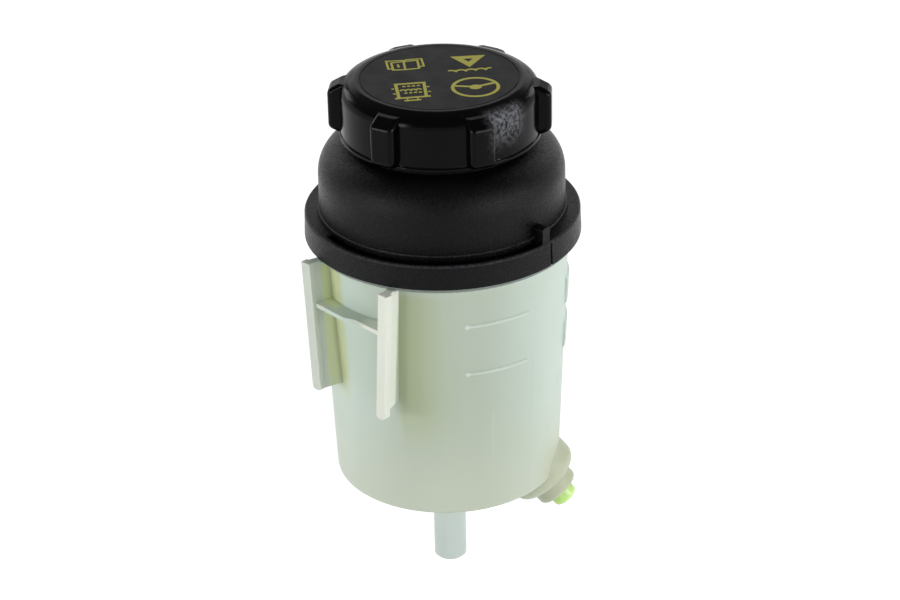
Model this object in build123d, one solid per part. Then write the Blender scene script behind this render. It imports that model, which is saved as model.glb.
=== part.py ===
from build123d import *
import os

# Power steering reservoir: a translucent vessel, a black cover welded on it and a screw cap.
# Heights are counted from the middle of the filler neck's mouth, which is the origin.
# +Z points up along the vessel's axis, and the two bracket rails face -Y.

# Vessel, a tapered tub with a welding lip
wall = 2.5
floor_thickness = 3.0
vessel_height = 96.4
mouth_radius = 45.5
foot_radius = 41.4
foot_rounding = 1.6
inner_foot_rounding = 1.0
lip_radius = 48.7
lip_below_rim = 1.9
lip_root_rounding = 0.8
lip_rounding = 0.5
weld_depth = 2.6
ledge_width = 1.0
ledge_depth = 5.0

# Cover, from the rim's lower edge up to the neck's mouth
cover_height = 53.0
rim_radius = 50.0
rim_draft = 0.3
rim_height = 9.1
rim_rounding = 0.9
rim_land = 1.9
groove_depth = 4.0
groove_start = 254.0
groove_sweep = 105.6
skirt_gap = 0.2
dome_radius = 44.2
dome_ledge = 0.7
dome_ledge_rounding = 0.4
dome_ledge_height = 10.7
dome_draft = 0.2
dome_height = 36.6
dome_shoulder = 13.0
dome_fall = 3.6
cover_wall = 2.5
cover_seam = 90.0
neck_bore_radius = 28.0
neck_outer_radius = 31.2
neck_rounding = 0.6
collar_radius = 33.2
collar_height = 0.9
tab_angle = 1.3
tab_width = 3.8
tab_above_rim = 5.9
tab_outer_radius = 49.1
tab_rounding = 1.1
notch_angle = 3.5
notch_width = 1.0
notch_depth = 0.5

# Cap with six grips, in two mirrored sets of three
cap_height = 20.8
cap_top = 5.9
cap_roof = 2.0
cap_radius = 35.5
cap_wall = 2.2
cap_face_radius = 30.1
cap_shoulder = 4.8
cap_shoulder_drop = 2.0
cap_face_rounding = 3.0
cap_inner_rounding = 0.4
cap_bead = 0.5
cap_bead_height = 1.4
grip_radius = 39.7
grip_width = 9.4
grip_root = 25.0
grip_inner_drop = 1.0
grip_brow_radius = 35.4
grip_brow_drop = 1.6
grip_outer_drop = 3.9
grip_top_rounding = 3.0
grip_heel = 0.5
grip_lift = 2.4
grip_foot_rounding = 2.4
grip_edge_rounding = 1.9
grip_angles = (219, 282, 336)
face_ring_radius = 28.4
face_ring_width = 0.4
face_ring_depth = 0.25

# Sealing pieces inside the cap
gasket_thickness = 2.0
gasket_inner_radius = 27.4
gasket_outer_radius = 31.6
plate_thickness = 1.2
plate_gap = 0.5
plate_rib_width = 2.0
plate_catch_count = 4
plate_catch_angle = 24
plate_catch_depth = 1.0
plate_catch_root = 0.2
vent_hole_radius = 1.2
vent_hole_count = 4
vent_hole_circle = 4.2
valve_radius = 7.0
valve_thickness = 0.7
valve_stem_radius = 1.5
valve_head = 0.4
valve_barb = 0.5
valve_crown = 0.5
running_gap = 0.3

# Bracket rails: a bar on a web each, leaning together as they go down, and a shelf between them
rail_plane = 51.0
rail_spread = 21.2
rail_width = 4.1
rail_thickness = 2.8
rail_length = 50.0
rail_lean = 3.1
rail_lap = 0.3
rail_rounding = 1.2
rail_root = 30.0
web_inset = 0.45
web_slant = 3.0
web_reach = 0.9
left_web_short = 0.5
right_web_short = 2.7
shelf_drop = 17.0
shelf_thickness = 1.6
shelf_jog = 1.4
shelf_jog_from = -0.5
shelf_jog_to = 3.2

# Level marks and bare pads on the wall
mark_drops = (17.8, 37.3)
mark_height = 1.6
mark_proud = 0.5
mark_start = 324.0
mark_sweep = 31.0
mark_dot = 1.4
pad_drops = (17.0, 35.0)
pad_height = 11.0
pad_proud = 0.8
pad_start = 32.0
pad_sweep = 24.0

# Return spigot, straight down from the floor, with the filter's seat over it
spigot_angle = 314.0
spigot_offset = 26.0
spigot_radius = 5.95
spigot_bore = 3.9
spigot_length = 26.1
spigot_chamfer = 1.0
spigot_root = 1.6
seam = 0.05
seat_radius = 8.2
seat_bore = 6.2
seat_height = 6.0

# Suction outlet, slanting down out of the lower corner
outlet_angle = 34.0
outlet_slope = 49.0
outlet_reach = 41.9
outlet_below_floor = 11.0
outlet_radius = 8.3
outlet_bore = 4.4
outlet_straight = 5.0
outlet_rounding = 1.6
outlet_root_rounding = 0.8
outlet_boss_radius = 13.6
outlet_boss_back = 7.0
outlet_boss_rounding = 5.0
outlet_depth = 27.0

# Transit plug in the outlet
plug_head_radius = 4.85
plug_head_length = 4.6
plug_head_rounding = 1.6
plug_body_length = 8.0
plug_clearance = 0.05
plug_wall = 1.1
plug_tip_rounding = 0.4

# Splash baffle clamped between vessel and cover
baffle_thickness = 1.6
baffle_gap = 0.2
baffle_hub_radius = 13.0
baffle_hub_height = 5.0
baffle_wall = 1.6
baffle_slots = 8
baffle_slot_width = 5.0
baffle_slot_from = 19.0
baffle_slot_to = 35.0
baffle_slot_rounding = 2.2
socket_wall = 1.6
socket_depth = 5.0

# Filter over the return spigot
filter_radius = 10.6
filter_post = 1.8
filter_ribs = 6
filter_plate = 1.8
filter_hoops = 3
filter_hoop_height = 1.4
screen_thickness = 0.4
foot_clearance = 0.15
foot_length = 5.5
seal_height = 1.6
seal_depth = 0.9
seal_squeeze_gap = 0.02
lid_boss_radius = 5.0
lid_boss_clearance = 0.2
lid_gap = 0.3

# Heights worked out from those above
rim_z = -cover_height
weld_z = rim_z + weld_depth
lip_z = rim_z - lip_below_rim
ledge_z = weld_z - ledge_depth
foot_z = rim_z - vessel_height
floor_z = foot_z + floor_thickness
groove_z = rim_z + rim_height - groove_depth
dome_z = rim_z + dome_height
skirt_z = cap_top - cap_height
rail_z = lip_z - rail_length
seat_z = floor_z + seat_height
baffle_top = ledge_z + baffle_thickness


def turned(corners):
    """A solid of revolution from (radius, height, rounding) corners."""
    points = [(radius, 0, height) for radius, height, _ in corners]
    roundings = [rounding for _, _, rounding in corners]
    return revolve(make_face(FilletPolyline(*points, radius=roundings, close=True)), Axis.Z)


def ring(inner, outer, low, high):
    """A plain ring or disc between two heights."""
    solid = Pos(0, 0, low) * extrude(Circle(outer), high - low)
    if inner > 0:
        solid -= Pos(0, 0, low) * extrude(Circle(inner), high - low)
    return solid


def block(x0, x1, y0, y1, z0, z1):
    """A box between two corners."""
    middle = Pos((x0 + x1) / 2, (y0 + y1) / 2, (z0 + z1) / 2)
    return middle * Box(abs(x1 - x0), abs(y1 - y0), abs(z1 - z0))


def wall_radius(z):
    """The vessel's outer radius at a height."""
    down = (lip_z - z) / (lip_z - foot_z)
    return mouth_radius + (foot_radius - mouth_radius) * down


def at_angle(angle, radius, z=0):
    """A place on a circle about the axis, turned to face outwards."""
    return Rot(0, 0, angle) * Pos(radius, 0, z)


def vessel_shell_outside():
    """The outside of the tub and its welding lip, filled."""
    return turned([
        (0, foot_z, 0),
        (foot_radius, foot_z, foot_rounding),
        (mouth_radius, lip_z, lip_root_rounding),
        (lip_radius, lip_z, lip_rounding),
        (lip_radius, weld_z, 0),
        (0, weld_z, 0),
    ])


def vessel_cavity():
    """The space inside the tub, with the step that the baffle rests on."""
    inner_mouth = mouth_radius - wall
    inner_foot = foot_radius - wall
    return turned([
        (0, floor_z, 0),
        (inner_foot, floor_z, inner_foot_rounding),
        (inner_mouth, ledge_z, 0),
        (inner_mouth + ledge_width, ledge_z, 0),
        (inner_mouth + ledge_width, weld_z, 0),
        (0, weld_z, 0),
    ])


def rail_lean_at(z):
    """How far a rail has leaned towards the middle at a height."""
    return rail_lean * (lip_z - z) / rail_length


def rail_outline(side, inset, low, rounding):
    """A rail's outline from the front, leaning towards the middle and rounded at its foot."""
    high = lip_z + rail_lap
    outer = rail_spread - inset
    inner = rail_spread - rail_width + inset
    lean = rail_lean_at(low)
    corners = [(inner, high), (outer, high), (outer - lean, low), (inner - lean, low)]
    points = [(side * x, 0, z) for x, z in corners]
    return make_face(FilletPolyline(*points, radius=[0, 0, rounding, rounding], close=True))


def rail(side, web_short):
    """One bracket rail: a bar with rounded lower corners, on a web that slants in to the wall."""
    depth = rail_plane - rail_root
    bar = extrude(rail_outline(side, 0, rail_z, rail_rounding), rail_thickness, dir=(0, 1, 0))
    web = extrude(rail_outline(side, web_inset, rail_z + web_short, 0), depth - rail_thickness / 2,
                  dir=(-side * web_slant, rail_plane - mouth_radius * web_reach, 0))
    return Pos(0, -rail_plane, 0) * (bar + Pos(0, rail_thickness / 2, 0) * web)


def shelf():
    """The thin stop between the rails, whose front edge jogs back half way along."""
    top = rim_z - shelf_drop
    end = rail_spread - rail_width - rail_lean_at(top) + web_inset * 2
    outline = Polyline(
        (-end, -rail_root),
        (-end, -rail_plane + shelf_jog),
        (shelf_jog_from, -rail_plane),
        (shelf_jog_to, -rail_plane + shelf_jog),
        (end, -rail_plane + shelf_jog / 2),
        (end, -rail_root),
        close=True,
    )
    return Pos(0, 0, top - shelf_thickness) * extrude(make_face(outline), shelf_thickness)


def band(z, height, proud, start, sweep, bevel):
    """A low raised band that follows the wall round part of the vessel."""
    low = z - height / 2
    high = z + height / 2
    profile = make_face(Polyline(
        (wall_radius(low) - wall / 2, 0, low),
        (wall_radius(low), 0, low),
        (wall_radius(low) + proud, 0, low + bevel),
        (wall_radius(high) + proud, 0, high - bevel),
        (wall_radius(high), 0, high),
        (wall_radius(high) - wall / 2, 0, high),
        close=True))
    return Rot(0, 0, start) * revolve(profile, Axis.Z, revolution_arc=sweep)


def level_marks():
    """The two filling marks, each a raised line that begins in a dot."""
    marks = []
    for drop in mark_drops:
        z = rim_z - drop
        marks.append(band(z, mark_height, mark_proud, mark_start, mark_sweep, mark_proud))
        marks.append(at_angle(mark_start, wall_radius(z) - mark_dot / 2, z) * Sphere(mark_dot))
    return marks


def label_pads():
    """The two bare pads on the far right of the wall."""
    return [band(rim_z - drop - pad_height / 2, pad_height, pad_proud,
                 pad_start, pad_sweep, pad_proud) for drop in pad_drops]


def spigot_place():
    """The return spigot's axis, at height 0."""
    return at_angle(spigot_angle, spigot_offset)


def return_spigot():
    """The spigot under the floor, filled, with its root and its chamfered end."""
    low = foot_z - spigot_length
    stem = turned([
        (0, low, 0),
        (spigot_radius - spigot_chamfer, low, 0),
        (spigot_radius, low + spigot_chamfer, 0),
        (spigot_radius, foot_z, spigot_root),
        (spigot_radius + spigot_root + seam, foot_z, 0),
        (spigot_radius + spigot_root + seam, foot_z + floor_thickness / 2, 0),
        (0, foot_z + floor_thickness / 2, 0),
    ])
    return spigot_place() * stem


def filter_seat():
    """The upright ring on the floor that the filter's foot plugs into."""
    return spigot_place() * ring(0, seat_radius, floor_z - floor_thickness / 2, seat_z)


def spigot_bores():
    """The oil's way up the spigot, and the wider seat above it."""
    low = foot_z - spigot_length
    return spigot_place() * (ring(0, spigot_bore, low, floor_z) + ring(0, seat_bore, floor_z, seat_z))


def outlet_place():
    """The outlet's axis: its Z points out of the tube, and its origin is the tube's end."""
    end = at_angle(outlet_angle, outlet_reach, foot_z - outlet_below_floor)
    return end * Rot(0, 90 + outlet_slope, 0)


def suction_outlet():
    """The outlet's tube and the rounded boss behind it, filled."""
    stem = turned([
        (0, -outlet_depth, 0),
        (outlet_boss_radius, -outlet_depth, 0),
        (outlet_boss_radius, -outlet_boss_back, outlet_boss_rounding),
        (outlet_radius, -outlet_straight, outlet_root_rounding),
        (outlet_radius, 0, outlet_rounding),
        (0, 0, 0),
    ])
    return outlet_place() * stem


def vessel():
    """The translucent moulding: tub, lip, rails, shelf, marks, spigot and outlet in one."""
    outside = vessel_shell_outside()
    outside += suction_outlet()
    outside += rail(-1, left_web_short)
    outside += rail(1, right_web_short)
    outside += shelf()
    for piece in level_marks() + label_pads():
        outside += piece
    outside += return_spigot()
    hollow = outside - vessel_cavity()
    hollow += filter_seat()
    hollow -= spigot_bores()
    hollow -= outlet_place() * ring(0, outlet_bore, -outlet_depth, 0)
    return hollow


def cover_profile():
    """Rim, dome, collar and neck as one turned section."""
    lip_space = lip_radius + skirt_gap
    rim_top = rim_z + rim_height
    ledge_top = rim_z + dome_ledge_height
    inner = dome_radius - cover_wall
    clamp_outer = mouth_radius - wall + ledge_width - baffle_gap
    return [
        (neck_bore_radius, 0, 0),
        (neck_outer_radius, 0, neck_rounding),
        (neck_outer_radius, dome_z + collar_height, 0),
        (collar_radius, dome_z + collar_height, 0),
        (collar_radius, dome_z, 0),
        (dome_radius, dome_z - dome_fall, dome_shoulder),
        (dome_radius + dome_draft, ledge_top, 0),
        (dome_radius + dome_ledge, ledge_top, dome_ledge_rounding),
        (dome_radius + dome_ledge, rim_top, 0),
        (rim_radius - rim_draft, rim_top, rim_rounding),
        (rim_radius, rim_z, 0),
        (lip_space, rim_z, 0),
        (lip_space, weld_z, 0),
        (clamp_outer, weld_z, 0),
        (clamp_outer, baffle_top, 0),
        (inner, baffle_top, 0),
        (inner, dome_z - cover_wall - dome_fall, dome_shoulder - cover_wall),
        (neck_bore_radius, dome_z - cover_wall, 0),
    ]


def rim_groove():
    """The deep groove between dome and rim, which runs round the front as far as the tab."""
    inner = dome_radius + dome_ledge
    outer = rim_radius - rim_draft - rim_land
    high = groove_z + groove_depth + rim_rounding
    section = make_face(Polyline((inner, 0, groove_z), (outer, 0, groove_z),
                                 (outer, 0, high), (inner, 0, high), close=True))
    return Rot(0, 0, groove_start) * revolve(section, Axis.Z, revolution_arc=groove_sweep)


def rim_tab():
    """The index tab that stands across the rim where the groove ends."""
    inner = dome_radius - cover_wall / 2
    high = groove_z + groove_depth + tab_above_rim
    body = block(inner, tab_outer_radius, -tab_width / 2, tab_width / 2, groove_z - dome_ledge, high)
    body = fillet(body.edges().filter_by(Axis.X).sort_by(Axis.Z)[-2:], tab_rounding)
    return Rot(0, 0, tab_angle) * body


def cover():
    """The black moulding welded on the vessel, turned so that its seam stays clear of the tab."""
    body = Rot(0, 0, cover_seam) * turned(cover_profile())
    body = body - rim_groove() + rim_tab()
    notch = block(rim_radius - notch_depth, rim_radius + notch_depth, -notch_width / 2, notch_width / 2,
                  rim_z, rim_z + rim_height)
    return body - Rot(0, 0, notch_angle) * notch


def grip():
    """One grip: a radial block that slopes down to its brow, with soft edges and a slanted underside."""
    outline = FilletPolyline(
        (grip_root, 0, skirt_z + grip_heel),
        (cap_radius, 0, skirt_z + grip_heel),
        (grip_radius, 0, skirt_z + grip_lift),
        (grip_radius, 0, cap_top - grip_outer_drop),
        (grip_brow_radius, 0, cap_top - grip_brow_drop),
        (grip_root, 0, cap_top - grip_inner_drop),
        radius=[0, 0, grip_foot_rounding, grip_top_rounding, 0, 0], close=True)
    body = extrude(make_face(outline), grip_width / 2, both=True)
    outer = body.edges().filter_by(Axis.Z).sort_by(Axis.X)[-2:]
    return fillet(outer, grip_edge_rounding)


def cap_grips():
    """All six grips: three, and the same three turned half round."""
    return [Rot(0, 0, angle + turn) * grip() for angle in grip_angles for turn in (0, 180)]


def cap_body():
    """The cap's turned outside, filled: flat face, round shoulder and skirt."""
    return turned([
        (0, skirt_z, 0),
        (cap_radius + cap_bead, skirt_z, cap_bead),
        (cap_radius + cap_bead, skirt_z + cap_bead_height, cap_bead),
        (cap_radius, skirt_z + cap_bead_height + cap_bead, cap_bead),
        (cap_radius, cap_top - cap_shoulder_drop, cap_shoulder),
        (cap_face_radius, cap_top, cap_face_rounding),
        (0, cap_top, 0),
    ])


def cap_shell():
    """The black cap that is gripped and turned."""
    body = cap_body()
    for piece in cap_grips():
        body += piece
    roof = cap_top - cap_roof
    inner = cap_radius - cap_wall
    body -= turned([
        (0, skirt_z, 0),
        (inner, skirt_z, 0),
        (inner, roof, cap_inner_rounding),
        (0, roof, 0),
    ])
    body -= ring(face_ring_radius - face_ring_width, face_ring_radius, cap_top - face_ring_depth, cap_top)
    for step in range(plate_catch_count):
        body += Rot(0, 0, step * 360 / plate_catch_count) * plate_catch(inner)
    return body


def plate_catch(inner):
    """A hook inside the skirt that holds the seal plate up."""
    high = gasket_thickness - running_gap
    profile = make_face(Polyline(
        (inner + plate_catch_root, 0, high),
        (inner - plate_catch_depth, 0, high),
        (inner + plate_catch_root, 0, high - 2 * plate_catch_depth),
        close=True,
    ))
    return Rot(0, 0, -plate_catch_angle / 2) * revolve(profile, Axis.Z, revolution_arc=plate_catch_angle)


def cap_seal_plate():
    """The disc snapped inside the cap, which presses the gasket down and carries the vent."""
    outer = cap_radius - cap_wall - plate_gap
    roof = cap_top - cap_roof
    top = gasket_thickness + plate_thickness
    body = ring(0, outer, gasket_thickness, top)
    body += ring(outer - plate_rib_width, outer, top, roof)
    body += ring(valve_radius + 1, valve_radius + 1 + plate_rib_width, top, roof)
    body -= ring(0, valve_stem_radius, gasket_thickness, top)
    for step in range(vent_hole_count):
        place = at_angle(step * 360 / vent_hole_count, vent_hole_circle)
        body -= place * ring(0, vent_hole_radius, gasket_thickness, top)
    return body


def cap_gasket():
    """The rubber ring between the neck's mouth and the seal plate."""
    return ring(gasket_inner_radius, gasket_outer_radius, 0, gasket_thickness)


def vent_valve():
    """The rubber umbrella under the seal plate, held by its stem."""
    low = gasket_thickness
    top = low + plate_thickness
    stem = valve_stem_radius - plug_clearance
    return turned([
        (0, low - valve_thickness - valve_crown, 0),
        (stem, low - valve_thickness - valve_crown, 0),
        (valve_radius, low - valve_thickness / 2, 0),
        (valve_radius, low, 0),
        (stem, low, 0),
        (stem, top, 0),
        (stem + valve_barb, top, 0),
        (stem, top + valve_head, 0),
        (0, top + valve_head, 0),
    ])


def outlet_plug():
    """The soft transit plug: a hollow body in the outlet's bore and a rounded head."""
    body = outlet_bore - plug_clearance
    plug = turned([
        (0, plug_head_length - 2 * plug_wall, 0),
        (0, plug_head_length, 0),
        (plug_head_radius, plug_head_length, plug_head_rounding),
        (plug_head_radius, 0, 0),
        (body, 0, 0),
        (body, -plug_body_length, plug_tip_rounding),
        (body - plug_wall, -plug_body_length, 0),
        (body - plug_wall, plug_head_length - 2 * plug_wall, 0),
    ])
    return outlet_place() * plug


def lid_top():
    """The height of the filter lid's plate, under the baffle's socket."""
    return ledge_z - socket_depth - lid_gap


def splash_baffle():
    """The slotted disc across the vessel's mouth, with a hub and the filter's socket."""
    outer = mouth_radius - wall + ledge_width - baffle_gap
    body = ring(0, outer, ledge_z, baffle_top)
    hub_outer = baffle_hub_radius + baffle_wall
    body += ring(baffle_hub_radius, hub_outer, baffle_top, baffle_top + baffle_hub_height)
    body -= ring(0, baffle_hub_radius, ledge_z, baffle_top)
    for step in range(baffle_slots):
        angle = spigot_angle + (step + 0.5) * 360 / baffle_slots
        slot = block(baffle_slot_from, baffle_slot_to, -baffle_slot_width / 2, baffle_slot_width / 2,
                     ledge_z, baffle_top)
        slot = fillet(slot.edges().filter_by(Axis.Z), baffle_slot_rounding)
        body -= Rot(0, 0, angle) * slot
    socket_bore = lid_boss_radius + lid_boss_clearance
    body += spigot_place() * ring(socket_bore, socket_bore + socket_wall, ledge_z - socket_depth, ledge_z)
    return body


def filter_seal():
    """The ring round the filter's foot, sealing it in the seat."""
    low = floor_z + seat_height / 3
    groove = seat_bore - foot_clearance - seal_depth
    return spigot_place() * ring(groove, seat_bore - seal_squeeze_gap, low, low + seal_height)


def filter_cage():
    """The moulded cage: foot, floor plate, ribs and hoops, open between them."""
    foot_radius_here = seat_bore - foot_clearance
    groove = foot_radius_here - seal_depth
    groove_low = floor_z + seat_height / 3
    plate_z = seat_z + filter_plate
    top = lid_top() - filter_plate
    body = ring(0, foot_radius_here, seat_z - foot_length, seat_z)
    body += ring(0, filter_radius, seat_z, plate_z)
    for step in range(filter_ribs):
        post = block(filter_radius - filter_post, filter_radius, -filter_post / 2, filter_post / 2,
                     plate_z, top)
        body += Rot(0, 0, step * 360 / filter_ribs) * post
    spacing = (top - plate_z) / (filter_hoops + 1)
    for step in range(filter_hoops):
        low = plate_z + (step + 1) * spacing - filter_hoop_height / 2
        body += ring(filter_radius - filter_post, filter_radius, low, low + filter_hoop_height)
    body += ring(filter_radius - filter_post, filter_radius, top - filter_hoop_height, top)
    body -= ring(0, spigot_bore, seat_z - foot_length, plate_z)
    body -= ring(groove, foot_radius_here, groove_low, groove_low + seal_height)
    return spigot_place() * body


def filter_screen():
    """The fine mesh sleeve inside the cage's ribs."""
    outer = filter_radius - filter_post
    low = seat_z + filter_plate
    high = lid_top() - filter_plate
    return spigot_place() * ring(outer - screen_thickness, outer, low, high)


def filter_lid():
    """The plate that closes the cage, with the boss that the baffle's socket holds."""
    low = lid_top() - filter_plate
    body = ring(0, filter_radius, low, lid_top())
    body += ring(0, lid_boss_radius, lid_top(), ledge_z - lid_gap)
    return spigot_place() * body


parts = {
    "vessel": vessel,
    "cover": cover,
    "cap_shell": cap_shell,
    "cap_seal_plate": cap_seal_plate,
    "cap_gasket": cap_gasket,
    "vent_valve": vent_valve,
    "splash_baffle": splash_baffle,
    "filter_cage": filter_cage,
    "filter_screen": filter_screen,
    "filter_seal": filter_seal,
    "filter_lid": filter_lid,
    "outlet_plug": outlet_plug,
}

os.makedirs("parts", exist_ok=True)
for name, make in parts.items():
    export_step(make(), f"parts/{name}.step")
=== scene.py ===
import math
import bmesh
import bpy
from mathutils import Matrix, Vector


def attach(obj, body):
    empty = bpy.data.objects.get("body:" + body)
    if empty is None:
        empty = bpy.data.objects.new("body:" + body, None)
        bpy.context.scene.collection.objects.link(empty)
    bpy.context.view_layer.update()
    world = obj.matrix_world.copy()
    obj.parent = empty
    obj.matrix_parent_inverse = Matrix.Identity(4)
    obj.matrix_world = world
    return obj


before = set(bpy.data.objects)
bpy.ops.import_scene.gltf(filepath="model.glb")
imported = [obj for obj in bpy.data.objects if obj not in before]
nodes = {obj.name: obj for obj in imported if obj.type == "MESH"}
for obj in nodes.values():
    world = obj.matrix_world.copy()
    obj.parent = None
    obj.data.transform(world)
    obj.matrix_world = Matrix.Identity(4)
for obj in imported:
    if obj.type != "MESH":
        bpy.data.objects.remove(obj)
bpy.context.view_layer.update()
MM = 0.001

# Places shared with the solids, in millimetres; an edge is its radius and its height
CAP_TOP = 5.9
NECK_RADIUS = 31.2
CAP_BORE = 33.3
THREAD_PITCH = 4.0
RIM_LOW = -53.0
SPIGOT = (18.06, -18.70)
WALL_AT_TOP = 47.88
WALL_SLOPE = 0.04339
DOME_FOOT = (44.9, -42.3)
RIM_EDGE = (49.45, -44.15)

# Low enough for the pulled plug to stay over it
FLOOR_Z = -197.0
FLOOR_HALF_SIDE = 6000.0

# Directions about the vessel's axis, in degrees from +X
CAMERA_TURN = 44.0
CAMERA_SIDE = CAMERA_TURN - 90.0
OUTLET_SIDE = 34.0
MARKS_SIDE = 339.0
SEAM_SIDE = 336.5
PALE_PATCH_SIDE = 354.5
TAB_LINE_SIDE = 2.2
PRINT_TURN = math.radians(51)

# The threads' ridges, in millimetres
NECK_THREAD_CREST = 32.35
CAP_THREAD_CREST = 32.15
THREAD_ROOT = 1.7
THREAD_TIP = 0.9
THREAD_SHIFT = 0.8

# The print's underside and its lowest top, from the cap's face, and the step from stroke to stroke
PRINT_SINK = 0.03
PRINT_RISE = 0.01
PRINT_STEP = 0.001

# The photograph's camera: its angles in radians, and its place in millimetres from the rim's middle
PITCH, YAW, ROLL = 0.484, 0.002, -0.023
CAMERA_PLACE = (0, -972.078, 481.047)
SENSOR_WIDTH = 36.0
PHOTO_WIDTH_PX = 900
FOCAL_LENGTH_PX = 2999.19

# The room's brightness, where 1 is white, and the upward slopes of view between which it dims
HORIZON = 1.0
CEILING = 0.22
DIM_FROM = 0.05
DIM_TO = 0.38

# The light that the floor adds where it is seen, and the height in metres at which the lamps aim
FLOOR_GLOW = 0.58
AIM_Z = -0.06


def rgb(red, green, blue):
    """A colour written as it should appear, turned linear."""
    return tuple((v / 255 / 12.92) if v <= 10 else ((v / 255 + 0.055) / 1.055) ** 2.4
                 for v in (red, green, blue)) + (1.0,)


class Shader:
    """A small helper that builds one node material."""

    def __init__(self, name, base, roughness, **sockets):
        self.mat = bpy.data.materials.new(name)
        self.mat.use_nodes = True
        self.tree = self.mat.node_tree
        self.bsdf = self.tree.nodes["Principled BSDF"]
        self.bsdf.inputs["Base Color"].default_value = base
        self.bsdf.inputs["Roughness"].default_value = roughness
        for key, value in sockets.items():
            self.bsdf.inputs[key.replace("_", " ")].default_value = value
        self.coords = self.node("ShaderNodeTexCoord").outputs["Object"]
        self.split = None

    def node(self, kind, **props):
        made = self.tree.nodes.new(kind)
        for key, value in props.items():
            setattr(made, key, value)
        return made

    def feed(self, socket, value):
        """Links an output to a socket, or sets a plain value."""
        if isinstance(value, bpy.types.NodeSocket):
            self.tree.links.new(value, socket)
        else:
            socket.default_value = value

    def xyz(self, axis):
        """The object coordinate along one axis, in metres."""
        if self.split is None:
            self.split = self.node("ShaderNodeSeparateXYZ")
            self.feed(self.split.inputs[0], self.coords)
        return self.split.outputs["XYZ".index(axis)]

    def math(self, operation, a, b=0.0, c=0.0):
        """One step of arithmetic on outputs or plain values."""
        made = self.node("ShaderNodeMath", operation=operation)
        for socket, value in zip(made.inputs, (a, b, c)):
            self.feed(socket, value)
        return made.outputs[0]

    def span(self, value, low, high, start=0.0, end=1.0):
        """A smooth step from start to end as the value goes from low to high."""
        made = self.node("ShaderNodeMapRange", interpolation_type="SMOOTHSTEP")
        for socket, given in zip(made.inputs, (value, low, high, start, end)):
            self.feed(socket, given)
        return made.outputs[0]

    def fall(self, value, low, high):
        """A smooth step from 1 down to 0 as the value goes from low to high."""
        return self.span(value, low, high, 1.0, 0.0)

    def band(self, value, low, full, last, high):
        """1 from full to last, fading to 0 at low and at high."""
        return self.times(self.span(value, low, full), self.fall(value, last, high))

    def times(self, *factors):
        """The product of all factors."""
        product = factors[0]
        for factor in factors[1:]:
            product = self.math("MULTIPLY", product, factor)
        return product

    def noise(self, scale, detail=2.0, roughness=0.5, stretch=(1, 1, 1), seed=0.0):
        place = self.node("ShaderNodeMapping")
        place.inputs["Scale"].default_value = stretch
        place.inputs["Location"].default_value = (seed, seed * 0.7, -seed)
        self.feed(place.inputs["Vector"], self.coords)
        made = self.node("ShaderNodeTexNoise")
        self.feed(made.inputs["Vector"], place.outputs[0])
        made.inputs["Scale"].default_value = scale
        made.inputs["Detail"].default_value = detail
        made.inputs["Roughness"].default_value = roughness
        return made.outputs[0]

    def radius(self):
        """The distance from the vessel's axis."""
        across = self.math("MULTIPLY", self.xyz("X"), self.xyz("X"))
        return self.math("SQRT", self.math("MULTIPLY_ADD", self.xyz("Y"), self.xyz("Y"), across))

    def angle(self, turn):
        """The angle about the axis away from a direction, in degrees, from -180 to 180."""
        cosine, sine = math.cos(math.radians(turn)), math.sin(math.radians(turn))
        x, y = self.xyz("X"), self.xyz("Y")
        along = self.math("MULTIPLY_ADD", x, cosine, self.math("MULTIPLY", y, sine))
        aside = self.math("MULTIPLY_ADD", y, cosine, self.math("MULTIPLY", x, -sine))
        return self.math("DEGREES", self.math("ARCTAN2", aside, along))

    def sector(self, turn, near, far):
        """1 about a direction, fading to 0 between two angles away from it, all in degrees."""
        return self.fall(self.math("ABSOLUTE", self.angle(turn)), near, far)

    def edge(self, radius, z, near, far):
        """1 on a circle about the axis and 0 beyond it; all in millimetres."""
        out = self.math("ADD", self.radius(), -radius * MM)
        over = self.math("ADD", self.xyz("Z"), -z * MM)
        away = self.math("SQRT", self.math("MULTIPLY_ADD", out, out, self.math("MULTIPLY", over, over)))
        return self.fall(away, near * MM, far * MM)

    def mix(self, factor, a, b):
        made = self.node("ShaderNodeMix", data_type="RGBA")
        self.feed(made.inputs[0], factor)
        self.feed(made.inputs[6], a)
        self.feed(made.inputs[7], b)
        return made.outputs[2]

    def tint(self, under, color, *factors):
        """Lays a colour over another one as far as the product of the factors says."""
        return self.mix(self.times(*factors), under, color)

    def color(self, value):
        self.feed(self.bsdf.inputs["Base Color"], value)

    def rough(self, value):
        self.feed(self.bsdf.inputs["Roughness"], value)

    def bump(self, *layers):
        """Bump layers as (height, strength, distance in metres), laid one on the other."""
        last = None
        for height, strength, distance in layers:
            made = self.node("ShaderNodeBump")
            made.inputs["Strength"].default_value = strength
            made.inputs["Distance"].default_value = distance
            self.feed(made.inputs["Height"], height)
            if last is not None:
                self.feed(made.inputs["Normal"], last)
            last = made.outputs[0]
        self.feed(self.bsdf.inputs["Normal"], last)


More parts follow.
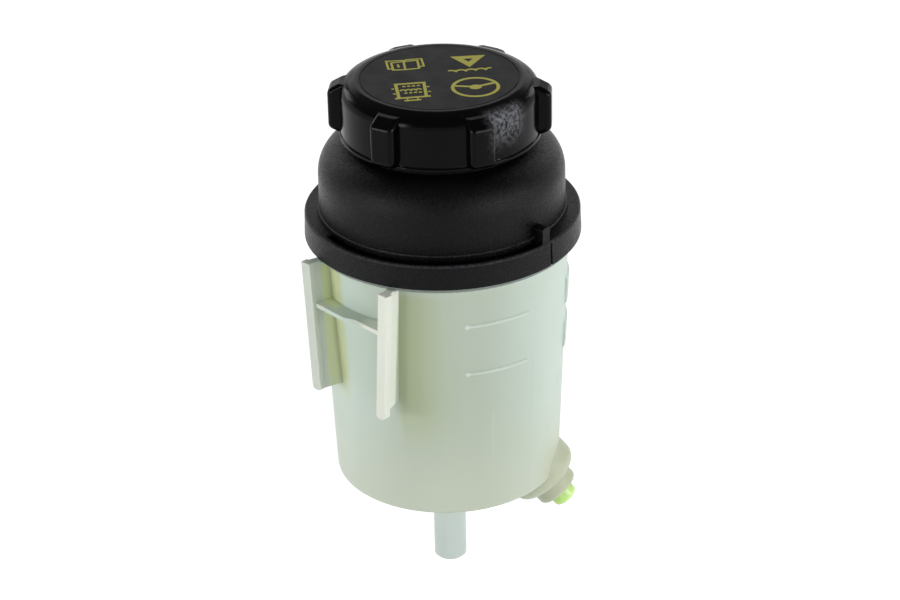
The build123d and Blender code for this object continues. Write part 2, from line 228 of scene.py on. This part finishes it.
def vessel_material():
    """Natural, milky plastic with painted light and shade: pale rails, the right one paler with painted
    light, a lip darkened with painted shade, a yellow-green painted shade beside the rails, painted
    highlights on the level marks and painted shade on the side facing the camera.
    """
    s = Shader("natural_plastic", rgb(198, 210, 198), 0.4, Subsurface_Weight=0.25,
               Subsurface_Radius=(1.0, 1.0, 0.7), Subsurface_Scale=0.004, Specular_IOR_Level=0.3)
    # Painted shade: the vessel is painted darker on the side that faces the camera.
    body = s.tint(rgb(200, 215, 205), rgb(178, 189, 175), s.sector(CAMERA_SIDE, 12.0, 60.0))
    body = s.tint(body, rgb(199, 206, 188), s.fall(s.xyz("Z"), -0.150, -0.095), 0.7)
    body = olive_painted_shade(s, body)
    body = lip_and_rails(s, body)
    body = outlet_marks_spigot(s, body)
    s.color(blemishes(s, body))
    s.rough(s.span(s.noise(70.0, 2.0), 0.3, 0.7, 0.34, 0.46))
    s.bump((s.noise(55.0, 2.0, 0.5, (1, 1, 0.5), 1.7), 0.25, 0.0006), (s.noise(900.0, 2.0), 0.10, 0.00004))
    return s.mat


def olive_painted_shade(s, body):
    """Painted olive shade on the wall beyond the right rail and on the left rail's inner flank."""
    x, z = s.xyz("X"), s.xyz("Z")
    # Painted shade beside the right rail, where the rail shades the wall.
    beside = s.band(x, 0.0145, 0.0170, 0.020, 0.036)
    tall = s.band(z, -0.128, -0.100, -0.0600, -0.0560)
    body = s.tint(body, rgb(170, 181, 143), beside, tall, rail_side(s), 0.8)
    # Painted shade on the left rail's inner flank, darker near the wall and towards the top.
    edge = s.math("MULTIPLY_ADD", z, -0.02, -0.0100)
    flank = s.fall(x, s.math("ADD", edge, -0.0012), s.math("ADD", edge, 0.0022))
    inside = s.times(flank, s.span(x, -0.0270, -0.0200), s.fall(s.radius(), 0.0485, 0.0495))
    short = s.band(z, -0.114, -0.098, -0.0570, -0.0550)
    olive = s.mix(s.span(off_wall(s), 0.0003, 0.0020), rgb(196, 204, 160), rgb(220, 227, 186))
    olive = s.tint(olive, rgb(196, 206, 152), s.span(z, -0.075, -0.058), 0.5)
    return s.tint(body, olive, inside, short, rail_side(s), 0.9)


def lip_and_rails(s, body):
    """The lip under the cover darkened with painted shade, the right rail made pale with painted light, and
    the duller left bar.
    """
    x, z, r = s.xyz("X"), s.xyz("Z"), s.radius()
    # Painted shade: the lip under the cover is painted darker.
    lip = s.times(s.band(r, 0.0462, 0.0472, 0.0487, 0.0491), s.span(z, -0.0556, -0.0549))
    body = s.tint(body, rgb(112, 120, 117), lip, 0.95)
    # Painted light: the right rail's bar and web are painted paler, the bar's top under the rim too.
    bar = s.span(r, 0.0493, 0.0500)
    web = s.times(s.span(r, 0.0452, 0.0466), s.fall(z, -0.0558, -0.0552))
    right = s.times(s.math("MAXIMUM", bar, web), s.span(x, 0.004, 0.010))
    body = s.tint(body, rgb(226, 230, 219), right, rail_side(s))
    return s.tint(body, rgb(203, 210, 200), bar, s.fall(x, -0.012, -0.008), rail_side(s))


def outlet_marks_spigot(s, body):
    """The thick, duller outlet with its boss, the level marks with painted highlights, and the spigot."""
    x, z, proud = s.xyz("X"), s.xyz("Z"), off_wall(s)
    boss = s.times(s.fall(z, -0.1480, -0.1260), s.sector(OUTLET_SIDE, 14.0, 34.0))
    tube = s.times(s.span(proud, 0.0002, 0.0010), s.fall(z, -0.126, -0.120))
    body = s.tint(body, rgb(192, 198, 172), s.math("MAXIMUM", boss, tube), s.span(x, 0.016, 0.024))
    # Painted highlight: the raised level marks are painted paler.
    marks = s.times(s.band(z, -0.094, -0.092, -0.069, -0.067), s.sector(MARKS_SIDE, 17.0, 18.5))
    body = s.tint(body, rgb(216, 226, 218), s.span(proud, 0.0001, 0.0003), marks, 0.5)
    spigot = s.times(s.fall(z, -0.1506, -0.1494), s.fall(spigot_distance(s), 0.0078, 0.0086))
    return s.mix(spigot, body, rgb(196, 208, 203))


def blemishes(s, body):
    """Clouds in the plastic, a faint mould seam and dark specks."""
    cloud = s.noise(38.0, 3.0, 0.5, (1, 1, 0.45))
    body = s.tint(body, rgb(172, 182, 160), s.span(cloud, 0.35, 0.7), 0.14)
    seam = s.times(s.sector(SEAM_SIDE, 0.15, 0.6), s.band(s.xyz("Z"), -0.130, -0.122, -0.110, -0.104))
    body = s.tint(body, rgb(226, 232, 224), seam, 0.15)
    speck = s.span(s.noise(620.0, 1.0, 0.4, seed=3.1), 0.80, 0.84)
    return s.tint(body, rgb(128, 132, 118), speck, 0.35)


def rail_side(s):
    """1 on the side of the vessel that carries the rails."""
    return s.fall(s.xyz("Y"), -0.004, 0.004)


def off_wall(s):
    """How far a point stands out from the vessel's tapering wall."""
    return s.math("ADD", s.radius(), s.math("MULTIPLY_ADD", s.xyz("Z"), -WALL_SLOPE, -WALL_AT_TOP * MM))


def from_spigot(s):
    """A point's place across the return spigot's axis, as x and y."""
    return [s.math("ADD", s.xyz(axis), -place * MM) for axis, place in zip("XY", SPIGOT)]


def spigot_distance(s):
    """The distance from the return spigot's axis."""
    x, y = from_spigot(s)
    return s.math("SQRT", s.math("MULTIPLY_ADD", y, y, s.math("MULTIPLY", x, x)))


def cover_material():
    """Black moulded plastic with a spark-eroded grain, painted highlights on the dome's foot and the rim's
    edge, and a mould line over the tab.
    """
    s = Shader("black_cover_plastic", rgb(4, 4, 5), 0.36, Specular_IOR_Level=0.13)
    dust = s.span(s.noise(1500.0, 2.0, 0.6, seed=5.0), 0.56, 0.72)
    base = s.tint(rgb(3, 3, 4), rgb(30, 30, 33), dust, 0.3)
    # Painted highlights along the dome's foot and the rim's outer edge, broken up by noise.
    edge_highlight_and_ink_wear = s.math("MAXIMUM", s.edge(*DOME_FOOT, 0.25, 0.55), s.edge(*RIM_EDGE, 0.35, 0.75))
    breakup = s.span(s.noise(1100.0, 3.0, 0.6, seed=9.0), 0.30, 0.62, 0.25, 0.9)
    base = s.tint(base, rgb(52, 52, 56), edge_highlight_and_ink_wear, breakup)
    high = s.band(s.xyz("Z"), -0.0375, -0.0370, -0.0300, -0.0270)
    s.color(s.tint(base, rgb(2, 2, 2), s.sector(TAB_LINE_SIDE, 0.12, 0.40), high))
    s.rough(s.span(s.noise(1500.0, 2.0, 0.7, seed=2.0), 0.35, 0.65, 0.24, 0.42))
    s.bump((s.noise(2100.0, 2.0, 0.6), 1.0, 0.00022), (s.noise(60.0, 2.0), 0.12, 0.0003))
    return s.mat


def cap_material():
    """Black satin plastic with a matt face made lighter by painted light, fine scratches and a pale,
    rougher patch on the skirt.
    """
    s = Shader("black_cap_plastic", rgb(4, 4, 5), 0.2, Specular_IOR_Level=0.08)
    z = s.xyz("Z")
    # Painted light: the cap's top face is painted lighter than the rest of the cap.
    face = s.times(s.span(z, 0.0052, 0.0058), s.fall(s.radius(), 0.0280, 0.0300))
    base = s.mix(face, rgb(3, 3, 4), rgb(27, 27, 29))
    scratch = s.span(s.noise(900.0, 3.0, 0.6, (1, 0.08, 1), 4.0), 0.58, 0.80)
    base = s.tint(base, rgb(70, 70, 74), scratch, 0.05)
    # A pale, rougher patch on the skirt, broken up by noise.
    patch = s.times(s.sector(PALE_PATCH_SIDE, 5.0, 19.0), s.band(z, -0.012, 0.0008, 0.0038, 0.0056))
    breakup = s.span(s.noise(700.0, 4.0, 0.7, seed=8.0), 0.34, 0.62)
    pale_rough_patch = s.times(patch, breakup, 0.7)
    s.color(s.mix(pale_rough_patch, base, rgb(128, 129, 134)))
    satin = s.span(s.noise(160.0, 2.0, seed=1.0), 0.3, 0.7, 0.13, 0.20)
    satin = s.times(satin, s.span(z, -0.0132, -0.0124, 0.5, 1.0))
    s.rough(s.math("MULTIPLY_ADD", face, 0.28, s.math("MULTIPLY_ADD", pale_rough_patch, 0.3, satin)))
    s.bump((s.noise(1700.0, 2.0, 0.6), 0.18, 0.00003), (s.noise(90.0, 2.0, seed=6.0), 0.10, 0.0003))
    return s.mat


def plain_material(name, color, dark, roughness, grain, **sockets):
    """Moulded plastic or rubber with a soft cloudy tone and a fine grain."""
    s = Shader(name, color, roughness, **sockets)
    s.color(s.mix(s.span(s.noise(grain * 0.12, 3.0), 0.3, 0.7), dark, color))
    s.rough(s.span(s.noise(grain * 0.3, 2.0, seed=2.0), 0.3, 0.7, roughness - 0.06, roughness + 0.06))
    s.bump((s.noise(grain, 2.0, 0.6), 0.2, 0.00005))
    return s.mat


def mesh_material():
    """A fine woven screen: threads along the sleeve and round it."""
    s = Shader("fine_mesh", rgb(214, 214, 205), 0.55)
    x, y = from_spigot(s)
    warp = s.math("ABSOLUTE", s.math("SINE", s.math("MULTIPLY", s.math("ARCTAN2", y, x), 55.0)))
    weft = s.math("ABSOLUTE", s.math("SINE", s.math("MULTIPLY", s.xyz("Z"), 6300.0)))
    weave = s.math("MAXIMUM", warp, weft)
    s.color(s.mix(s.span(weave, 0.45, 0.85), rgb(92, 92, 86), rgb(222, 222, 214)))
    s.bump((weave, 0.6, 0.0001))
    return s.mat


def plug_material():
    """Soft lime plastic that lets light through."""
    s = Shader("green_soft_plastic", rgb(204, 248, 150), 0.22, Subsurface_Weight=0.6,
               Subsurface_Radius=(0.7, 1.0, 0.3), Subsurface_Scale=0.004)
    s.color(s.mix(s.span(s.noise(150.0, 2.0), 0.3, 0.7), rgb(192, 240, 132), rgb(214, 252, 164)))
    s.bump((s.noise(700.0, 2.0), 0.12, 0.00004))
    return s.mat


def print_material():
    """Dull yellow printing ink, worn thin in places."""
    s = Shader("yellow_ink", rgb(196, 192, 84), 0.6, Specular_IOR_Level=0.2)
    edge_highlight_and_ink_wear = s.span(s.noise(1300.0, 3.0, 0.7), 0.55, 0.8)
    s.color(s.tint(rgb(204, 199, 92), rgb(150, 146, 70), edge_highlight_and_ink_wear, 0.25))
    s.bump((s.noise(2200.0, 2.0), 0.15, 0.00003))
    return s.mat


def dress(name, material):
    """Gives a CAD node its material."""
    slots = nodes[name].material_slots
    if not slots:
        nodes[name].data.materials.append(material)
    for slot in slots:
        slot.material = material


def mesh_object(name, bm, material, body):
    """Makes a piece from a bmesh, riding on a body."""
    bmesh.ops.recalc_face_normals(bm, faces=bm.faces)
    mesh = bpy.data.meshes.new(name)
    bm.to_mesh(mesh)
    bm.free()
    mesh.materials.append(material)
    piece = bpy.data.objects.new(name, mesh)
    bpy.context.collection.objects.link(piece)
    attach(piece, body)


def add_prism(bm, outline, low, high):
    """Adds a flat shape of corners (x, y), in millimetres, between two heights."""
    below = [bm.verts.new((x * MM, y * MM, low * MM)) for x, y in outline]
    above = [bm.verts.new((x * MM, y * MM, high * MM)) for x, y in outline]
    bm.faces.new(above)
    bm.faces.new(below[::-1])
    count = len(outline)
    for i in range(count):
        j = (i + 1) % count
        bm.faces.new((below[i], below[j], above[j], above[i]))


def stroke(points, width, closed=False):
    """The outlines of a pen stroke along points, one four-sided piece for each run."""
    count = len(points)
    sides = []
    for i, point in enumerate(points):
        here = Vector(point)
        runs = []
        if closed or i > 0:
            runs.append((here - Vector(points[i - 1])).normalized())
        if closed or i < count - 1:
            runs.append((Vector(points[(i + 1) % count]) - here).normalized())
        along = sum(runs, Vector((0, 0))).normalized()
        normal = Vector((-along.y, along.x))
        stretch = 1 / max(0.4, normal.dot(Vector((-runs[0].y, runs[0].x))))
        offset = normal * width / 2 * stretch
        sides.append((here + offset, here - offset))
    pairs = list(zip(sides, sides[1:] + sides[:1]))
    if not closed:
        pairs.pop()
    return [(left, right, next_right, next_left) for (left, right), (next_left, next_right) in pairs]


def arc(cx, cy, rx, ry, start, end, steps):
    """Points along an arc of an ellipse."""
    return [(cx + rx * math.cos(math.radians(start + (end - start) * i / steps)),
             cy + ry * math.sin(math.radians(start + (end - start) * i / steps))) for i in range(steps + 1)]


def scallops(x0, x1, y, depth, count):
    """A row of shallow arches that meet in dips, like a fluid's surface."""
    points = []
    for i in range(count * 8 + 1):
        t = i / 8
        points.append((x0 + (x1 - x0) * t / count, y + depth * (abs(math.sin(math.pi * t)) ** 0.6 - 1)))
    return points


class Pen:
    """Prints on the cap's face, each stroke a hair above the last, so that crossings stay clean."""

    def __init__(self):
        self.bm = bmesh.new()
        self.strokes = 0

    def fill(self, outlines):
        """Prints outlines, given in millimetres along the print's own level, as one layer."""
        self.strokes += 1
        cosine, sine = math.cos(PRINT_TURN), math.sin(PRINT_TURN)
        top = CAP_TOP + PRINT_RISE + self.strokes * PRINT_STEP
        for outline in outlines:
            placed = [(u * cosine - v * sine, u * sine + v * cosine) for u, v in outline]
            add_prism(self.bm, placed, CAP_TOP - PRINT_SINK, top)

    def draw(self, points, width, closed=False):
        self.fill(stroke(points, width, closed))


def print_book(pen):
    """An open book: its two pages, the spine, the covers behind them and a mark on the left page."""
    pen.draw([(-11.0, 8.6), (-15.3, 9.0), (-15.3, 15.5), (-10.8, 15.9)], 0.85)
    pen.draw([(-11.0, 8.6), (-6.0, 9.0), (-5.8, 16.2), (-10.8, 15.9)], 0.85)
    pen.draw([(-11.0, 9.1), (-10.8, 15.5)], 0.8)
    pen.draw([(-15.3, 10.1), (-16.9, 10.1), (-16.9, 17.3), (-11.2, 17.0), (-10.8, 16.4)], 0.8)
    pen.draw([(-5.9, 10.6), (-4.2, 10.6), (-4.2, 17.4), (-9.6, 17.4), (-10.8, 16.4)], 0.8)
    pen.draw([(-13.1, 11.0), (-13.1, 13.6)], 0.8)


def print_funnel(pen):
    """A funnel over a wavy level."""
    pen.draw([(8.3, 15.9), (16.4, 15.5), (11.9, 9.2)], 2.5, True)
    pen.draw([p for p in scallops(2.9, 20.6, 4.9, 1.1, 5) if 3.6 <= p[0] <= 19.7], 1.0)


def print_vessel(pen):
    """A vessel on its foot, with a wavy level, ticks at its sides and two rows of dashes."""
    pen.draw([(-16.2, -15.3), (-16.0, -3.8), (-6.0, -3.8), (-6.6, -15.3)], 1.15)
    pen.draw([(-17.6, -16.0), (-5.1, -15.8)], 1.2)
    pen.draw([(-14.6, -18.4), (-8.7, -18.3)], 1.0)
    for x in (-13.4, -9.8):
        pen.draw([(x, -16.6), (x, -17.9)], 0.6)
    pen.draw(scallops(-15.0, -7.6, -8.9, 0.9, 4), 0.8)
    for y in (-7.6, -11.9):
        for x in (-17.9, -5.5):
            pen.draw([(x, y), (x + 1.0, y)], 0.8)
    for y in (-6.1, -11.9):
        for i in range(4):
            pen.draw([(-13.9 + i * 1.7, y), (-12.8 + i * 1.7, y)], 0.9)


def print_wheel(pen):
    """A steering wheel: its rim, two spokes and the hub."""
    pen.draw(arc(11.3, -11.0, 8.0, 8.0, 0, 360, 64)[:-1], 1.25, True)
    pen.draw([(4.0, -8.7), (9.6, -10.3)], 1.2)
    pen.draw([(18.5, -8.4), (13.0, -10.2)], 1.2)
    pen.fill([arc(11.35, -10.9, 2.2, 1.9, 0, 360, 24)[:-1]])


def cap_print():
    """The printed pictograms."""
    pen = Pen()
    for sign in (print_book, print_funnel, print_vessel, print_wheel):
        sign(pen)
    mesh_object("cap_print", pen.bm, print_material(), "cap")


def helix(name, radius, crest, low, high, phase, material, body):
    """A thread's ridge from one height to another, in millimetres, fading out at both ends."""
    bm = bmesh.new()
    turns = (high - low) / THREAD_PITCH
    steps = max(8, int(turns * 72))
    sink = 0.15 if crest > radius else -0.15
    rings = []
    for i in range(steps + 1):
        t = i / steps
        turn = 2 * math.pi * turns * t + phase
        z = low + (high - low) * t
        grow = min(1.0, t * steps / 9, (1 - t) * steps / 9)
        top = radius + (crest - radius) * grow
        tip, root = THREAD_TIP / 2 * max(grow, 0.2), THREAD_ROOT / 2
        profile = [(radius - sink, -root), (radius, -root), (top, -tip),
                   (top, tip), (radius, root), (radius - sink, root)]
        rings.append([bm.verts.new((r * math.cos(turn) * MM, r * math.sin(turn) * MM, (z + dz) * MM))
                      for r, dz in profile])
    for a, b in zip(rings, rings[1:]):
        for k in range(len(a)):
            bm.faces.new((a[k - 1], a[k], b[k], b[k - 1]))
    bm.faces.new(rings[0])
    bm.faces.new(rings[-1][::-1])
    mesh_object(name, bm, material, body)


def camera():
    """The photograph's camera, worked out from the rim's and the cap's ellipses."""
    turn = Matrix.Rotation(math.radians(CAMERA_TURN), 3, "Z")
    level = math.cos(PITCH)
    forward = turn @ Vector((math.sin(YAW) * level, math.cos(YAW) * level, -math.sin(PITCH)))
    right = forward.cross(Vector((0, 0, 1))).normalized()
    up = right.cross(forward)
    across = right * math.cos(ROLL) + up * math.sin(ROLL)
    over = -right * math.sin(ROLL) + up * math.cos(ROLL)
    place = turn @ Vector(CAMERA_PLACE) + Vector((0, 0, RIM_LOW))
    made = bpy.data.objects.new("photo_camera", bpy.data.cameras.new("photo_camera"))
    bpy.context.collection.objects.link(made)
    facing = Matrix((across, over, -forward)).transposed()
    made.matrix_world = Matrix.Translation(place * MM) @ facing.to_4x4()
    made.data.sensor_width = SENSOR_WIDTH
    made.data.lens = FOCAL_LENGTH_PX / PHOTO_WIDTH_PX * SENSOR_WIDTH
    made.data.clip_end = 20.0
    bpy.context.scene.camera = made


def area_light(name, azimuth, elevation, distance, size, power):
    """A soft box aimed at the object; azimuth 0 stands behind the camera, + to its right."""
    turn = math.radians(CAMERA_SIDE + azimuth)
    rise = math.radians(elevation)
    aim = Vector((0, 0, AIM_Z))
    away = Vector((math.cos(turn) * math.cos(rise), math.sin(turn) * math.cos(rise), math.sin(rise)))
    data = bpy.data.lights.new(name, "AREA")
    data.shape = "RECTANGLE"
    data.size, data.size_y = size
    data.energy = power
    made = bpy.data.objects.new(name, data)
    bpy.context.collection.objects.link(made)
    facing = (-away).to_track_quat("-Z", "Y").to_matrix()
    made.matrix_world = Matrix.Translation(aim + distance * away) @ facing.to_4x4()


def floor():
    """A plain pale floor that the camera sees as white."""
    mesh = bpy.data.meshes.new("floor")
    side, z = FLOOR_HALF_SIDE * MM, FLOOR_Z * MM
    corners = [(-side, -side, z), (side, -side, z), (side, side, z), (-side, side, z)]
    mesh.from_pydata(corners, [], [(0, 1, 2, 3)])
    made = bpy.data.objects.new("floor", mesh)
    bpy.context.collection.objects.link(made)
    s = Shader("pale_floor", rgb(240, 240, 240), 0.9, Specular_IOR_Level=0.1)
    s.color(s.mix(s.span(s.noise(3.0, 2.0), 0.3, 0.7), rgb(238, 238, 238), rgb(242, 242, 242)))
    rays = s.node("ShaderNodeLightPath").outputs
    seen = s.math("MAXIMUM", rays["Is Glossy Ray"], rays["Is Transmission Ray"])
    seen = s.math("MAXIMUM", rays["Is Camera Ray"], seen)
    s.bsdf.inputs["Emission Color"].default_value = (1, 1, 1, 1)
    s.feed(s.bsdf.inputs["Emission Strength"], s.times(seen, FLOOR_GLOW))
    mesh.materials.append(s.mat)


def sky():
    """A white horizon under a dim ceiling."""
    world = bpy.data.worlds.new("studio")
    bpy.context.scene.world = world
    world.use_nodes = True
    tree = world.node_tree
    split = tree.nodes.new("ShaderNodeSeparateXYZ")
    fade = tree.nodes.new("ShaderNodeMapRange")
    fade.interpolation_type = "SMOOTHSTEP"
    for socket, value in zip(fade.inputs[1:5], (DIM_FROM, DIM_TO, HORIZON, CEILING)):
        socket.default_value = value
    tree.links.new(tree.nodes.new("ShaderNodeTexCoord").outputs["Generated"], split.inputs[0])
    tree.links.new(split.outputs["Z"], fade.inputs[0])
    back = tree.nodes["Background"]
    back.inputs["Color"].default_value = (1, 1, 1, 1)
    tree.links.new(fade.outputs[0], back.inputs["Strength"])


def light():
    """The room, and low boxes all round, the strongest at the sides and in front."""
    sky()
    area_light("left_box", -66, 8, 1.1, (0.34, 0.24), 3.1)
    area_light("right_box", 66, 8, 1.1, (0.34, 0.24), 3.9)
    area_light("left_front_box", -43, 16, 1.1, (0.16, 0.50), 2.2)
    area_light("right_front_box", 39, 16, 1.1, (0.16, 0.50), 2.5)
    area_light("left_back_box", -138, 20, 1.1, (0.4, 0.3), 1.0)
    area_light("right_back_box", 138, 20, 1.1, (0.4, 0.3), 1.0)
    area_light("back_box", 180, 26, 1.0, (0.8, 0.3), 0.7)


cover_black = cover_material()
cap_black = cap_material()
grey = plain_material("grey_inner_plastic", rgb(196, 198, 195), rgb(178, 180, 177), 0.42, 900.0)
rubber = plain_material("black_rubber", rgb(34, 34, 35), rgb(22, 22, 23), 0.62, 1500.0)

dress("vessel", vessel_material())
dress("cover", cover_black)
dress("cap_shell", cap_black)
dress("outlet_plug", plug_material())
dress("filter_screen", mesh_material())
for inner in ("cap_seal_plate", "splash_baffle", "filter_cage", "filter_lid"):
    dress(inner, grey)
for soft in ("cap_gasket", "vent_valve", "filter_seal"):
    dress(soft, rubber)

cap_print()
helix("neck_thread", NECK_RADIUS, NECK_THREAD_CREST, -11.4, -2.2, 0.0,
      cover_black, "reservoir")
phase = math.pi * (1 + 2 * THREAD_SHIFT / THREAD_PITCH)
helix("cap_thread", CAP_BORE, CAP_THREAD_CREST, -10.6, -2.4, phase,
      cap_black, "cap")
floor()
camera()
light()

bpy.context.scene.view_settings.view_transform = "Standard"
